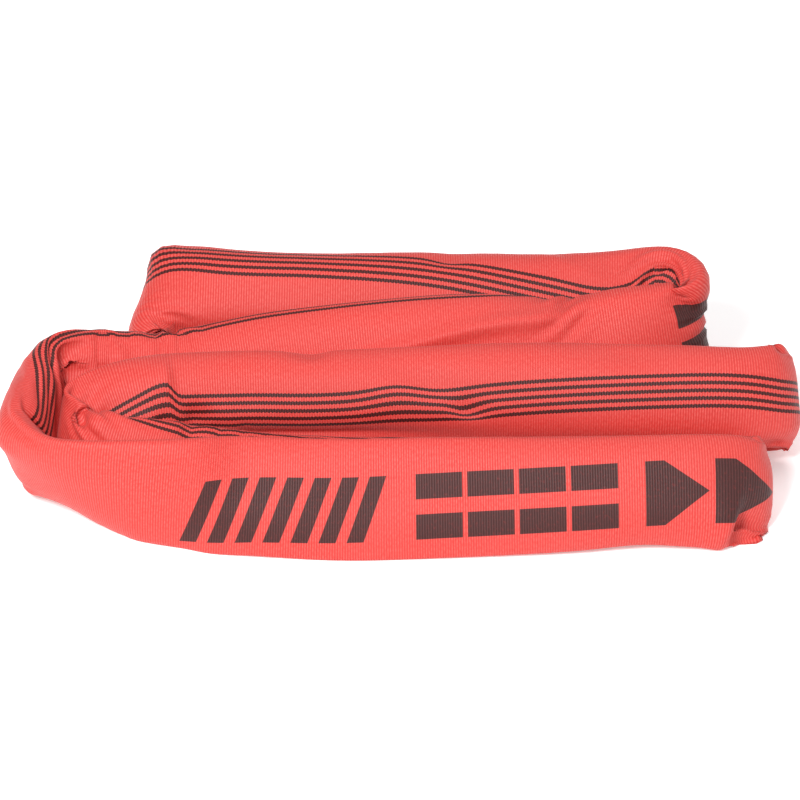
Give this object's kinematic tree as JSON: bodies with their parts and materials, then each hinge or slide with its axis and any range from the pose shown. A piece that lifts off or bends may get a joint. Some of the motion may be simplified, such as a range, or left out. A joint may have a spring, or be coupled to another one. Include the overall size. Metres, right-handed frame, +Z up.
{
  "type": "round sling",
  "caption": "Endless woven round sling folded into a flat bundle of parallel runs, with striped sleeve and sewn tag.",
  "frame": {"origin": "middle of the bottom of the bounding box, on the surface that the bundle lies on", "axes": "+X along the folded runs, to the right seen from the front; +Y to the rear; +Z up"},
  "size_m": [0.562, 0.2988, 0.1096],
  "materials": {
    "sleeve_polyester": "woven coral-red polyester with a satin sheen and dark stripes",
    "core_polyester": "undyed multifilament yarn",
    "stitching_polyester": "red sewing thread",
    "tag_cloth": "coated blue textile with blank panels",
    "tag_film": "clear soft film"
  },
  "bodies": {
    "sling": {"sleeve": "sleeve_polyester", "core_hank": "core_polyester", "core_tie": "core_polyester", "join_stitch_row_1": "stitching_polyester", "join_stitch_row_2": "stitching_polyester", "tag_stitch_row": "stitching_polyester"},
    "label": {"tag": "tag_cloth", "tag_cover": "tag_film"}
  },
  "joints": [
    {"name": "tag_swing", "type": "hinge", "parent": "sling", "child": "label", "pos_m": [-0.04954, 0.08195, 0.0239], "axis": [1, 0, 0], "range_deg": [0, 60]}
  ]
}
